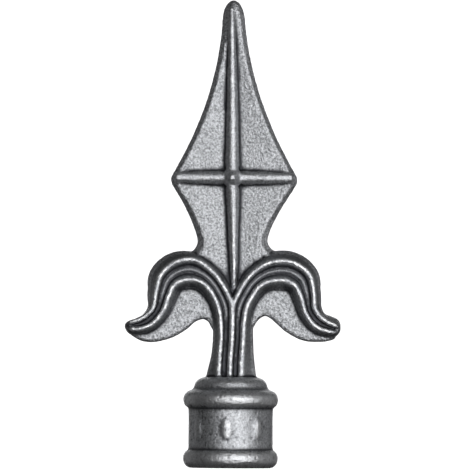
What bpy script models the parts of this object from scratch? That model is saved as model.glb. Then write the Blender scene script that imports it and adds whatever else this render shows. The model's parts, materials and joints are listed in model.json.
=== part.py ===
"""Fence spear finial: a grey-iron casting with a spear blade, two scrolled arms and a turned socket.

The finial stands on its socket's rim, with +Z up. Its front faces -Y, and the mould's parting
plane is Y = 0, so that the back repeats the front. Sizes are in millimetres and are turned to
metres as each mesh is made. Angles are in degrees.
"""

import math

import bmesh
import bpy
import numpy as np
from mathutils import Matrix

MM = 0.001

# Overall height, from the socket's rim to the point
HEIGHT = 150.0

# Socket that drops over the top of a round fence bar
BAR_DIAMETER = 20.0
BAR_CLEARANCE = 0.5
SOCKET_WALL = 3.3
SOCKET_DEPTH = 23.0
MOUTH_CHAMFER = 0.5
SOCKET_SIDES = 48
BORE_SIDES = 40

# Beads round the socket's rim and top, and the collar and shoulder above
BEAD_PROUD = 1.65
BODY_WAIST = 0.1
RIM_BEAD_HEIGHT = 5.7
RIM_ROUNDING_WIDTH = 2.8
RIM_ROUNDING_HEIGHT = 3.0
TOP_BEAD_LOWER_HEIGHT = 2.5
TOP_BEAD_UPPER_HEIGHT = 3.1
TOP_BEAD_ABOVE_BORE = 2.0
COLLAR_STEP = 3.1
COLLAR_DRAFT = 0.4
COLLAR_HEIGHT = 1.0
SHOULDER_WIDTH = 3.7
SHOULDER_HEIGHT = 3.1
SHOULDER_CROWN = 0.1
UPPER_ARC_ANGLE = 80
SMALL_ARC_STEPS = 4

# Raised upright ovals round the socket, clear of the parting line, with angles from the front
OVALS_PER_FACE = 3
OVAL_STEP_ANGLE = 45.5
OVAL_MIDDLE_ANGLE = -5.6
OVAL_WIDTH = 4.3
OVAL_HEIGHT = 8.3
OVAL_PROUD = 0.6
OVAL_SEGMENTS = 12
OVAL_RING_COUNT = 8

# Arms: two ridges with a low one between, from the stem up over the arch to the flicked tip
ARM_REACH = 34.8
ARM_RISE = 35.0
ARM_TIP_ROUNDING = 3.0
RIDGE_DEPTH = 5.0
RIDGE_WIDTH = 0.7
RIDGE_HALF_GAP = 2.0
VALLEY_DEPTH = 3.6
MIDDLE_DEPTH = 4.1
INNER_WALL_WIDTH = 2.5
OUTER_WALL_WIDTH = 2.0
OUTER_LAND = 1.0
STEM_SINK = 3.0

# The right arm's centre line, as shares: of the reach, of the rise, of the ridges' half gap,
# of the inner wall's width, of the outer wall's width
ARM_LINE = (
    (0.0505, 0.00, 0.875, 1.84, 1.05),
    (0.0505, 0.18, 0.875, 1.33, 1.05),
    (0.0505, 0.35, 0.880, 1.15, 1.05),
    (0.054, 0.53, 0.950, 1.04, 1.05),
    (0.069, 0.65, 1.075, 1.04, 1.05),
    (0.112, 0.75, 1.050, 1.04, 1.05),
    (0.235, 0.92, 1.175, 1.20, 1.10),
    (0.397, 1.00, 1.500, 1.44, 1.15),
    (0.524, 0.99, 1.525, 1.44, 1.10),
    (0.621, 0.91, 1.425, 1.28, 1.00),
    (0.672, 0.77, 1.075, 1.20, 0.90),
    (0.711, 0.60, 0.800, 1.12, 0.80),
    (0.795, 0.51, 0.800, 0.92, 0.70),
    (0.860, 0.485, 0.700, 0.84, 0.70),
    (0.912, 0.48, 0.600, 0.76, 0.65),
)
ARM_STEPS = 3
ARM_END_STEPS = 5

# Shares in an arm's section and at its tip
VALLEY_SHARE = 0.55
TIP_WIDTH_SHARE = 0.2
TIP_DEPTH_SHARE = 0.4

# Web inside each arm's hook, from this row of the arm's line on
WEB_DEPTH = 2.2
WEB_BEVEL = 0.7
WEB_FIRST_ROW = 4

# Underside of the right web, from the stem out to the arm's tip, as shares of reach and rise
WEB_UNDERSIDE = (
    (0.140, 0.39),
    (0.190, 0.45),
    (0.230, 0.525),
    (0.275, 0.54),
    (0.323, 0.520),
    (0.447, 0.425),
    (0.540, 0.367),
    (0.642, 0.327),
    (0.728, 0.315),
    (0.838, 0.330),
    (0.925, 0.377),
)
WEB_STEPS = 3

# Blade: outline, seen from the front, standing on the arms
WAIST_ABOVE_ARCH = 8.8
WAIST_HALF_WIDTH = 11.2
WIDEST_ABOVE_WAIST = 19.2
BLADE_HALF_WIDTH = 20.9
NOSE_HALF_WIDTH = 3.4
NOSE_LENGTH = 6.0
NOSE_CLOSURE = 0.99
LOWER_EDGE_POWER = 1.36
CORNER_BLEND = 2.6
HEEL_HALF_WIDTH = 2.0
HEEL_TAPER = 12.0
HEEL_RISE_SHARE = 0.595
NOTCH_FILLET = 4.0
FILLET_STEPS = 6
BLADE_STEPS = 33
NOSE_STEPS = 6

# Blade: depths, each from the parting plane to the front
EDGE_LAND = 0.6
RIM_DEPTH = 2.5
RIM_WIDTH = 1.7
NARROW_RIM_SHARE = 0.45
DISH_DEPTH = 1.0
DISH_GROWTH_LENGTH = 20.0
TIP_CROWN_SHARE = 0.4
DISH_STATIONS = (0.85, 0.5, 0.0, -0.5, -0.85)

# Ribs on the blade, and the boss where they cross
RIB_DEPTH = 4.1
RIB_TIP_HALF_WIDTH = 1.5
RIB_CROSSING_HALF_WIDTH = 2.6
RIB_HEEL_HALF_WIDTH = 1.9
RIB_TIP_GAP = 1.6
RIB_HEEL_RISE_SHARE = 0.723
CROSS_RIB_DEPTH = 3.9
CROSS_RIB_END_DEPTH = 3.0
CROSS_RIB_HALF_HEIGHT = 2.6
CROSS_RIB_END_HALF_HEIGHT = 1.9
CROSS_RIB_ABOVE_WIDEST = 0.9
BOSS_HALF_WIDTH = 2.8
BOSS_DEPTH = 5.6
BOSS_TOP_HALF_WIDTH = 0.7

# The long rib's ends: (gaps below the point or share of the way from waist to heel, share of
# the half width there, share of the depth)
RIB_TIP_ROWS = ((1, 0.5, 0.45), (2, 0.85, 0.75), (6, 1.0, 0.95))
RIB_HEEL_ROWS = ((0.0, 1.0, 1.0), (0.6, 1.0, 0.95), (1.0, 0.6, 0.4))
RIB_SIDES = 14
RIB_STEPS = 4
CROSS_RIB_STEPS = 12

# The boss's rings as shares of its depth, its narrowing top and its squarish section
BOSS_RINGS = (-1, -0.85, -0.6, 0.6, 0.85, 1)
BOSS_TOP_SHARE = 0.4
BOSS_POWER = 3
BOSS_SIDES = 16

# Sideways bow of the casting between its collar and its point
CASTING_BOW = 0.6

# The two mirrored halves meet and merge within this
HALF_SEAM = 0.01

# Edges sharper than this stay crisp
SHARP_ANGLE = 35

# Heights and radii that follow from the sizes above
BORE_RADIUS = (BAR_DIAMETER + BAR_CLEARANCE) / 2
BODY_RADIUS = BORE_RADIUS + SOCKET_WALL
BEAD_RADIUS = BODY_RADIUS + BEAD_PROUD
COLLAR_RADIUS = BEAD_RADIUS - COLLAR_STEP
TOP_BEAD_END = SOCKET_DEPTH + TOP_BEAD_ABOVE_BORE
TOP_BEAD_START = TOP_BEAD_END - TOP_BEAD_UPPER_HEIGHT - TOP_BEAD_LOWER_HEIGHT
SHOULDER_TOP = TOP_BEAD_END + COLLAR_HEIGHT + SHOULDER_HEIGHT
WAIST_Z = SHOULDER_TOP + ARM_RISE + WAIST_ABOVE_ARCH
WIDEST_Z = WAIST_Z + WIDEST_ABOVE_WAIST
CROSSING_Z = WIDEST_Z + CROSS_RIB_ABOVE_WIDEST
HEEL_Z = SHOULDER_TOP + HEEL_RISE_SHARE * ARM_RISE
RIB_HEEL_Z = SHOULDER_TOP + RIB_HEEL_RISE_SHARE * ARM_RISE


def object_of(name, mesh_builder):
    """A scene object from a bmesh whose points are in millimetres."""
    bmesh.ops.scale(mesh_builder, vec=(MM, MM, MM), verts=mesh_builder.verts)
    bmesh.ops.recalc_face_normals(mesh_builder, faces=mesh_builder.faces)
    mesh = bpy.data.meshes.new(name)
    mesh_builder.to_mesh(mesh)
    mesh_builder.free()
    made = bpy.data.objects.new(name, mesh)
    bpy.context.scene.collection.objects.link(made)
    return made


def loft(name, rings):
    """A closed solid skinned over rings of equal point counts, with a flat face over each end."""
    skin = bmesh.new()
    loops = [[skin.verts.new(point) for point in ring] for ring in rings]
    count = len(loops[0])
    for near, far in zip(loops, loops[1:]):
        for index in range(count):
            after = (index + 1) % count
            skin.faces.new((near[index], near[after], far[after], far[index]))
    skin.faces.new(loops[0])
    skin.faces.new(loops[-1])
    return object_of(name, skin)


def boolean(target, other, operation):
    """Cut or fuse with the exact solver, keep the result's mesh and drop the other object."""
    modifier = target.modifiers.new(operation, "BOOLEAN")
    modifier.operation = operation
    modifier.solver = "EXACT"
    modifier.object = other
    bake(target)
    bpy.data.objects.remove(other)


def bake(target):
    """Replace an object's mesh by what its modifiers make of it."""
    graph = bpy.context.evaluated_depsgraph_get()
    result = bpy.data.meshes.new_from_object(target.evaluated_get(graph))
    target.modifiers.clear()
    target.data = result


def smooth_rows(rows, steps):
    """Rows of numbers made into a smooth series, by cubics between them in step with the path."""
    rows = np.array(rows, float)
    gaps = np.hypot(np.diff(rows[:, 0]), np.diff(rows[:, 1]))
    at = np.concatenate([[0.0], np.cumsum(gaps)])
    slopes = np.gradient(rows, at, axis=0)
    series = [rows[:1]]
    for index, gap in enumerate(gaps):
        t = np.linspace(0, 1, steps + 1)[1:, None]
        start, end = rows[index], rows[index + 1]
        bend_in, bend_out = slopes[index] * gap, slopes[index + 1] * gap
        series.append(
            start * (1 + 2 * t) * (1 - t) ** 2
            + bend_in * t * (1 - t) ** 2
            + end * t**2 * (3 - 2 * t)
            + bend_out * t**2 * (t - 1)
        )
    return np.concatenate(series)


def along_path(path):
    """Unit vectors along a path, one for each of its points."""
    along = np.gradient(path, axis=0)
    return along / np.linalg.norm(along, axis=1)[:, None]


def arc(centre, radii, start, end, steps):
    """Points on an upright ellipse's arc, with angles from +X toward +Z."""
    angles = np.radians(np.linspace(start, end, steps + 1))
    return [
        (centre[0] + radii[0] * math.cos(a), centre[1] + radii[1] * math.sin(a))
        for a in angles
    ]


def turned(name, profile, sides):
    """A solid of revolution about the Z axis over (radius, height) points."""
    angles = np.linspace(0, 2 * math.pi, sides, endpoint=False)
    rings = [
        [(radius * math.cos(a), radius * math.sin(a), z) for a in angles]
        for radius, z in profile
    ]
    return loft(name, rings)


def front_and_back(front):
    """A ring from its front points (x, depth, z): depths go toward -Y, and the back mirrors them."""
    return [(x, -depth, z) for x, depth, z in front] + [
        (x, depth, z) for x, depth, z in reversed(front)
    ]


def blade_half_width(z):
    """Half of the blade's width: a parabola down from the nose, cut off by the lower edge's curve."""
    upper = NOSE_HALF_WIDTH + (BLADE_HALF_WIDTH - NOSE_HALF_WIDTH) * (
        (HEIGHT - z) / (HEIGHT - WIDEST_Z)
    ) ** 2
    rise = max(z - WAIST_Z, 0.0) / WIDEST_ABOVE_WAIST
    lower = WAIST_HALF_WIDTH + (BLADE_HALF_WIDTH - WAIST_HALF_WIDTH) * rise**LOWER_EDGE_POWER
    overlap = max(CORNER_BLEND - abs(upper - lower), 0.0)
    width = min(upper, lower) - overlap**2 / (4 * CORNER_BLEND)
    if z > HEEL_Z + HEEL_TAPER:
        return width
    taper = (z - HEEL_Z) / HEEL_TAPER
    return HEEL_HALF_WIDTH + (width - HEEL_HALF_WIDTH) * taper


def nose_share(z):
    """How much of its full section the blade has at a height: an ellipse rounds off the nose."""
    left = max(1 - (HEIGHT - z) / NOSE_LENGTH, 0.0)
    return math.sqrt(1 - NOSE_CLOSURE * left**2)


def dish_depth(z):
    """How far the blade's face lies under its rim at mid width: less than none by the point."""
    growth = (HEIGHT - z) / DISH_GROWTH_LENGTH - TIP_CROWN_SHARE
    return DISH_DEPTH * min(growth, 1.0)


def blade():
    """The spear plate: its dished faces stand below a raised rim that slopes to the edge."""
    even = np.linspace(HEEL_Z, HEIGHT - NOSE_LENGTH, BLADE_STEPS + 1)
    turn = np.linspace(0, math.pi / 2, NOSE_STEPS + 1)[1:]
    nose = HEIGHT - NOSE_LENGTH * (1 - np.sin(turn))
    rings = []
    for z in np.concatenate([even, nose]):
        share = nose_share(z)
        half = blade_half_width(z) * share
        rim = half - min(RIM_WIDTH, NARROW_RIM_SHARE * half)
        dish = dish_depth(z)
        front = [(half, EDGE_LAND * share, z), (rim, RIM_DEPTH * share, z)]
        front += [
            (part * rim, (RIM_DEPTH - dish * (1 - part**2)) * share, z)
            for part in DISH_STATIONS
        ]
        front += [(-rim, RIM_DEPTH * share, z), (-half, EDGE_LAND * share, z)]
        rings.append(front_and_back(front))
    return loft("blade", rings)


def oval_points(wide, deep, sides):
    """(along, depth) points round an oval of the given half width and half depth."""
    angles = np.linspace(0, 2 * math.pi, sides, endpoint=False)
    return [(wide * math.cos(a), deep * math.sin(a)) for a in angles]


def long_rib():
    """The rib from the blade's point to its heel, half round on each side of the plate."""
    rows = [
        (HEIGHT - gaps * RIB_TIP_GAP, width * RIB_TIP_HALF_WIDTH, depth * RIB_DEPTH)
        for gaps, width, depth in RIB_TIP_ROWS
    ]
    rows.append((CROSSING_Z, RIB_CROSSING_HALF_WIDTH, RIB_DEPTH))
    rows += [
        (WAIST_Z + way * (RIB_HEEL_Z - WAIST_Z), width * RIB_HEEL_HALF_WIDTH, depth * RIB_DEPTH)
        for way, width, depth in RIB_HEEL_ROWS
    ]
    known = np.arange(len(rows)) * RIB_STEPS
    places = np.arange(known[-1] + 1)
    columns = [np.interp(places, known, column) for column in zip(*rows)]
    rings = [
        [(x, y, z) for x, y in oval_points(wide, deep, RIB_SIDES)]
        for z, wide, deep in zip(*columns)
    ]
    return loft("long_rib", rings)


def cross_rib():
    """The rib across the blade's widest part, deepest where it meets the long one."""
    reach = blade_half_width(CROSSING_Z) - RIM_WIDTH
    height_growth = CROSS_RIB_HALF_HEIGHT - CROSS_RIB_END_HALF_HEIGHT
    depth_growth = CROSS_RIB_DEPTH - CROSS_RIB_END_DEPTH
    rings = []
    for share in np.linspace(-1, 1, CROSS_RIB_STEPS + 1):
        near = 1 - abs(share)
        half_height = CROSS_RIB_END_HALF_HEIGHT + near * height_growth
        depth = CROSS_RIB_END_DEPTH + near * depth_growth
        section = oval_points(half_height, depth, RIB_SIDES)
        rings.append([(share * reach, y, CROSSING_Z + up) for up, y in section])
    return loft("cross_rib", rings)


def boss():
    """The four-sided dome where the ribs cross, through the plate from front to back."""
    angles = np.linspace(0, 2 * math.pi, BOSS_SIDES, endpoint=False)
    across, up = np.cos(angles), np.sin(angles)
    reach = (np.abs(across) ** BOSS_POWER + np.abs(up) ** BOSS_POWER) ** (-1 / BOSS_POWER)
    rings = []
    for share in BOSS_RINGS:
        swell = min((1 - abs(share)) / BOSS_TOP_SHARE, 1.0)
        wide = BOSS_TOP_HALF_WIDTH + (BOSS_HALF_WIDTH - BOSS_TOP_HALF_WIDTH) * swell
        rings.append(
            [
                (wide * r * x, share * BOSS_DEPTH, CROSSING_Z + wide * r * z)
                for r, x, z in zip(reach, across, up)
            ]
        )
    return loft("boss", rings)


def arm_rows():
    """The right arm's rows in millimetres: x, z, half ridge gap, inner wall, outer wall."""
    full = [ARM_REACH, ARM_RISE, RIDGE_HALF_GAP, INNER_WALL_WIDTH, OUTER_WALL_WIDTH]
    placed = np.array(ARM_LINE) * full + [0, SHOULDER_TOP, 0, 0, 0]
    foot = placed[:1] - [0, STEM_SINK, 0, 0, 0]
    return smooth_rows(np.concatenate([foot, placed]), ARM_STEPS)


def arm_front(half_gap, inner, outer):
    """Front of the arm's section as (distance toward its outer side, depth)."""
    crest = half_gap - RIDGE_WIDTH / 2
    brow = half_gap + RIDGE_WIDTH / 2
    valley = VALLEY_SHARE * crest
    return [
        (half_gap + outer, OUTER_LAND),
        (brow, RIDGE_DEPTH),
        (crest, RIDGE_DEPTH),
        (valley, VALLEY_DEPTH),
        (0.0, MIDDLE_DEPTH),
        (-valley, VALLEY_DEPTH),
        (-crest, RIDGE_DEPTH),
        (-brow, RIDGE_DEPTH),
        (-half_gap - inner, WEB_DEPTH - WEB_BEVEL / 2),
    ]


def arm():
    """The right arm: its ridged section carried along the centre line, and a rounded tip."""
    rows = arm_rows()
    along = along_path(rows[:, :2])
    stations = [(row, way, 1.0) for row, way in zip(rows, along)]
    for turn in np.linspace(0, math.pi / 2, ARM_END_STEPS + 1)[1:]:
        row = rows[-1].copy()
        row[:2] += along[-1] * ARM_TIP_ROUNDING * math.sin(turn)
        stations.append((row, along[-1], max(math.cos(turn), TIP_WIDTH_SHARE)))
    rings = []
    for (x, z, *widths), (way_x, way_z), share in stations:
        flat = TIP_DEPTH_SHARE + (1 - TIP_DEPTH_SHARE) * share
        front = [
            (x - way_z * across * share, depth * flat, z + way_x * across * share)
            for across, depth in arm_front(*widths)
        ]
        rings.append(front_and_back(front))
    return loft("arm", rings)


def plate(name, outlines):
    """A flat plate about the parting plane, from ((x, z) outline, depth) pairs, middle first."""
    front = [[(x, -depth, z) for x, z in outline] for outline, depth in outlines]
    back = [[(x, depth, z) for x, z in outline] for outline, depth in outlines]
    return loft(name, back[::-1] + front)


def web():
    """The flat web that fills the right arm's hook down to its scalloped, bevelled underside."""
    edge = np.array(WEB_UNDERSIDE) * [ARM_REACH, ARM_RISE] + [0, SHOULDER_TOP]
    underside = smooth_rows(edge, WEB_STEPS)
    along = along_path(underside)
    inset = underside + WEB_BEVEL * np.column_stack([-along[:, 1], along[:, 0]])
    under_arm = arm_rows()[WEB_FIRST_ROW * ARM_STEPS :: ARM_STEPS, :2][::-1]
    full = np.concatenate([underside, under_arm])
    bevelled = np.concatenate([inset, under_arm])
    return plate("web", [(full, WEB_DEPTH - WEB_BEVEL), (bevelled, WEB_DEPTH)])


def waist_fillet():
    """The rounded inside corner between the blade's lower edge and the arm's outer wall."""
    rows = arm_rows()
    arch = rows[np.argmax(rows[:, 1])]
    arm_top = arch[1] + arch[2] + arch[4]
    centre_x = WAIST_HALF_WIDTH + NOTCH_FILLET
    centre_z = arm_top + NOTCH_FILLET - EDGE_LAND
    round_off = (NOTCH_FILLET, NOTCH_FILLET)
    curve = arc((centre_x, centre_z), round_off, 180, 270, FILLET_STEPS)
    inner_x = WAIST_HALF_WIDTH - RIM_WIDTH
    low_z = arm_top - NOTCH_FILLET / 2
    outline = curve + [(centre_x, low_z), (inner_x, low_z), (inner_x, centre_z)]
    return plate("waist_fillet", [(outline, OUTER_LAND)])


def socket_profile():
    """The socket's outer profile from the rim up: bead, waisted body, bead, collar, shoulder."""
    rim_centre = (BEAD_RADIUS - RIM_ROUNDING_WIDTH, RIM_ROUNDING_HEIGHT)
    rim = (RIM_ROUNDING_WIDTH, RIM_ROUNDING_HEIGHT)
    profile = arc(rim_centre, rim, -90, 0, SMALL_ARC_STEPS)
    rim_bead = (BEAD_PROUD, RIM_BEAD_HEIGHT - RIM_ROUNDING_HEIGHT)
    profile += arc((BODY_RADIUS, RIM_ROUNDING_HEIGHT), rim_bead, 0, 90, SMALL_ARC_STEPS)[1:]
    profile.append((BODY_RADIUS - BODY_WAIST, (RIM_BEAD_HEIGHT + TOP_BEAD_START) / 2))
    bead_z = TOP_BEAD_START + TOP_BEAD_LOWER_HEIGHT
    lower_bead = (BEAD_PROUD, TOP_BEAD_LOWER_HEIGHT)
    upper_bead = (COLLAR_STEP, TOP_BEAD_UPPER_HEIGHT)
    profile += arc((BODY_RADIUS, bead_z), lower_bead, -90, 0, SMALL_ARC_STEPS)
    profile += arc((COLLAR_RADIUS, bead_z), upper_bead, 0, UPPER_ARC_ANGLE, SMALL_ARC_STEPS)[1:]
    profile.append((COLLAR_RADIUS, TOP_BEAD_END))
    shoulder = (SHOULDER_WIDTH, SHOULDER_HEIGHT)
    shoulder_centre = (COLLAR_RADIUS - COLLAR_DRAFT - SHOULDER_WIDTH, TOP_BEAD_END + COLLAR_HEIGHT)
    profile += arc(shoulder_centre, shoulder, 0, UPPER_ARC_ANGLE, SMALL_ARC_STEPS)
    profile.append((shoulder_centre[0] - SHOULDER_WIDTH / 2, SHOULDER_TOP + SHOULDER_CROWN))
    return profile


def oval(angle):
    """One raised upright oval on the socket's body, at an angle from the front."""
    swell = bmesh.new()
    bmesh.ops.create_uvsphere(
        swell, u_segments=OVAL_SEGMENTS, v_segments=OVAL_RING_COUNT, radius=1.0
    )
    size = (OVAL_WIDTH / 2, 2 * OVAL_PROUD, OVAL_HEIGHT / 2)
    bmesh.ops.scale(swell, vec=size, verts=swell.verts)
    middle = (RIM_BEAD_HEIGHT + TOP_BEAD_START) / 2
    out = (0, OVAL_PROUD - BODY_RADIUS, middle)
    bmesh.ops.translate(swell, vec=out, verts=swell.verts)
    turn = Matrix.Rotation(math.radians(angle), 3, "Z")
    bmesh.ops.rotate(swell, cent=(0, 0, 0), matrix=turn, verts=swell.verts)
    return object_of("oval", swell)


def bore():
    """The cutter for the bar's hole: a flat-ended cylinder, wider by a chamfer at its mouth."""
    profile = [
        (BORE_RADIUS + 2 * MOUTH_CHAMFER, -MOUTH_CHAMFER),
        (BORE_RADIUS, MOUTH_CHAMFER),
        (BORE_RADIUS, SOCKET_DEPTH),
    ]
    return turned("bore", profile, BORE_SIDES)


def bow(target):
    """Bow an object toward +X between the collar and the point, as a half wave."""
    for point in target.data.vertices:
        part = (point.co.z / MM - SHOULDER_TOP) / (HEIGHT - SHOULDER_TOP)
        if part > 0:
            point.co.x += CASTING_BOW * MM * math.sin(math.pi * min(part, 1.0))


def mirrored(target):
    """Cut an object at X = 0 and mirror its +X half onto the other side."""
    mirror = target.modifiers.new("halves", "MIRROR")
    mirror.use_axis[0] = True
    mirror.use_bisect_axis[0] = True
    mirror.bisect_threshold = HALF_SEAM * MM
    mirror.merge_threshold = HALF_SEAM * MM
    bake(target)


def cast_iron():
    """Bare grey cast iron."""
    iron = bpy.data.materials.new("cast_iron")
    iron.use_nodes = True
    shader = iron.node_tree.nodes["Principled BSDF"]
    shader.inputs["Base Color"].default_value = (0.30, 0.31, 0.33, 1)
    shader.inputs["Roughness"].default_value = 0.45
    shader.inputs["Metallic"].default_value = 0.85
    return iron


def main():
    for item in list(bpy.data.objects):
        bpy.data.objects.remove(item)
    casting = blade()
    for piece in (long_rib(), cross_rib(), boss(), web(), waist_fillet(), arm()):
        boolean(casting, piece, "UNION")
    mirrored(casting)
    bow(casting)
    boolean(casting, turned("socket", socket_profile(), SOCKET_SIDES), "UNION")
    for face_angle in (0, 180):
        for index in range(OVALS_PER_FACE):
            from_middle = (index - (OVALS_PER_FACE - 1) / 2) * OVAL_STEP_ANGLE
            angle = face_angle + OVAL_MIDDLE_ANGLE + from_middle
            boolean(casting, oval(angle), "UNION")
    boolean(casting, bore(), "DIFFERENCE")
    casting.name = "finial_casting"
    casting.data.name = "finial_casting"
    casting.data.materials.clear()
    casting.data.materials.append(cast_iron())
    casting.data.shade_smooth()
    casting.data.set_sharp_from_angle(angle=math.radians(SHARP_ANGLE))


main()
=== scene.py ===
"""Looks of the fence spear finial: one fine casting in place of the faceted solid, and its studio.

Each form of the casting is a surface over a grid: rings of points carried along the blade, the
arms, the ribs and the socket. They are fused, smoothed as a sand mould would round them, and given
the unevenness of a rough casting. Lengths here are in millimetres until a mesh is made.
"""

import json
import math

import bpy
import numpy as np
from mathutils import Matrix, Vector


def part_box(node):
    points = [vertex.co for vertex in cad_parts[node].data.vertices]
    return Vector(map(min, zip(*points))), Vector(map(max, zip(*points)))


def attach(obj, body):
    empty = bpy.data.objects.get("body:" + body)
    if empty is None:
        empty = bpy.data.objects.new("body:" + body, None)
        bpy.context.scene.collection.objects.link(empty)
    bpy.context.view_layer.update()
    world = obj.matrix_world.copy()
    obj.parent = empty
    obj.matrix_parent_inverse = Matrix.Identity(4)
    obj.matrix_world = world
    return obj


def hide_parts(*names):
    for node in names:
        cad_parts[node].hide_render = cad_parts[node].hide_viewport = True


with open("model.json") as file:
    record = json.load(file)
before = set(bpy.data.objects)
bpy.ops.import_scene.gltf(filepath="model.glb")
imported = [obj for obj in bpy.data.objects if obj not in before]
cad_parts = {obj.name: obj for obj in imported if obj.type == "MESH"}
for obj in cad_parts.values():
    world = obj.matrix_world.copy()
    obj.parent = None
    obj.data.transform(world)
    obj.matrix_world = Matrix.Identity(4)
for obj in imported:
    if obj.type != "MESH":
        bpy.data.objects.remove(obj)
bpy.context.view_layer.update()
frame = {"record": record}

MM = 0.001
NODE = "finial_casting"

# Overall size, read from the frame
LOW, HIGH = (np.array(corner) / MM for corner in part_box(NODE))
HEIGHT = HIGH[2]
SOCKET_OUTER = HIGH[1]

# Socket
BAR_STOP = next(m for m in frame["record"]["mounts"] if m["name"] == "bar_stop")["pos_m"][2] / MM
BORE_RADIUS = 10.25
MOUTH_CHAMFER = 0.5
BEAD_PROUD = 1.65
BODY_WAIST = 0.1
RIM_BEAD_HEIGHT = 5.7
RIM_ROUNDING = (2.8, 3.0)
TOP_BEAD_LOWER_HEIGHT = 2.5
TOP_BEAD_UPPER_HEIGHT = 3.1
TOP_BEAD_ABOVE_BORE = 2.0
COLLAR_STEP = 3.1
COLLAR_DRAFT = 0.4
COLLAR_HEIGHT = 1.0
SHOULDER = (3.7, 3.1)
TOP_OPENING = 0.5
SHOULDER_START_ANGLE = 86
TOP_BEAD_START_ANGLE = 85
BODY_POINTS = 40
OUTSIDE_POINTS = 300

# Raised upright ovals round the socket: spacing and turn in degrees from the front, size in mm
OVALS_PER_FACE = 3
OVAL_SPACING = 45.5
OVAL_TURN = -5.6
OVAL_SIZE = (4.3, 8.3)
OVAL_PROUD = 0.6
OVAL_END_ANGLE = 88

# Blade outline
WIDEST_BELOW_TIP = 57.9
BLADE_HALF_WIDTH = 20.9
NOSE_HALF_WIDTH = 3.4
NOSE_LENGTH = 6.0
WAIST_BELOW_WIDEST = 19.2
WAIST_HALF_WIDTH = 11.2
LOWER_EDGE_POWER = 1.36
CORNER_BLEND = 2.6
HEEL_HALF_WIDTH = 2.0
HEEL_BELOW_WAIST = 23.0
HEEL_TAPER = 12.0

# Blade depths from the parting plane
EDGE_LAND = 0.6
RIM_DEPTH = 2.5
RIM_WIDTH = 1.5
WAIST_RIM_WIDTH = 2.1
RIM_WIDEST_SHARE = 0.45
FACE_DISH = 1.0
DISH_FADE = 20.0
DISH_START = 0.4
NOSE_BLUNTING = 0.99

# Ribs and boss
ROD_SQUARENESS = 2.2
RIB_DEPTH = 4.1
RIB_TIP_HALF_WIDTH = 1.5
RIB_CROSSING_HALF_WIDTH = 2.6
RIB_HEEL_HALF_WIDTH = 1.75
RIB_TIP_GAP = 1.25
RIB_HEEL_BELOW_WAIST = 21.0
CROSS_RIB_DEPTH = 3.9
CROSS_RIB_END_DEPTH = 3.5
CROSS_RIB_HALF_HEIGHT = 2.6
CROSS_RIB_END_HALF_HEIGHT = 2.3
CROSS_RIB_ABOVE_WIDEST = 0.9
RIB_OFFSET = -0.6
RIB_HEEL_OFFSET = 0.3
BOSS_HALF_WIDTH = 2.8
BOSS_DEPTH = 5.6
BOSS_TOP_HALF_WIDTH = 0.7
BOSS_ROUNDED_SHARE = 0.4
BOSS_SQUARENESS = 3

# The long rib's ends, upward: place as a share of the heel's length below the waist or as a number
# of tip gaps below the tip, then half width and depth as shares
RIB_HEEL_STOPS = ((1.0, 0.26, 0.40), (0.6, 0.72, 0.95), (0.0, 1.00, 1.00))
RIB_TIP_STOPS = ((6.0, 1.00, 0.95), (2.0, 0.85, 0.75), (1.0, 0.50, 0.45))

# Arms and webs
ARM_REACH = 34.8
ARM_RISE = 35.0
ARM_TIP_ROUNDING = 3.0
ARM_TIP_LEAST_WIDTH = 0.12
ARM_TIP_LEAST_DEPTH = 0.4
RIDGE_DEPTH = 5.0
RIDGE_WIDTH = 1.35
RIDGE_HALF_GAP = 2.0
VALLEY_SHARE = 0.5
INNER_WALL_WIDTH = 2.5
OUTER_WALL_WIDTH = 2.0
VALLEY_DEPTH = 2.7
MIDDLE_DEPTH = 3.7
OUTER_LAND = 1.0
STEM_SINK = 3.0
RIDGE_CROWN = 0.15
WEB_DEPTH = 2.2
WEB_BEVEL = 1.1
WEB_ROOT_ROW = 4
NOTCH_FILLET = 4.0
NOTCH_FILLET_TURN = (172, 284)
NOTCH_FILLET_COVER = 1.6

# How far the casting bows to one side, and how far its waist sits to the other, over what height
CASTING_BOW = 0.6
WAIST_SHIFT = -0.4
WAIST_SHIFT_REACH = 8.0
WAIST_SHIFT_RISE = 2.0

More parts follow.
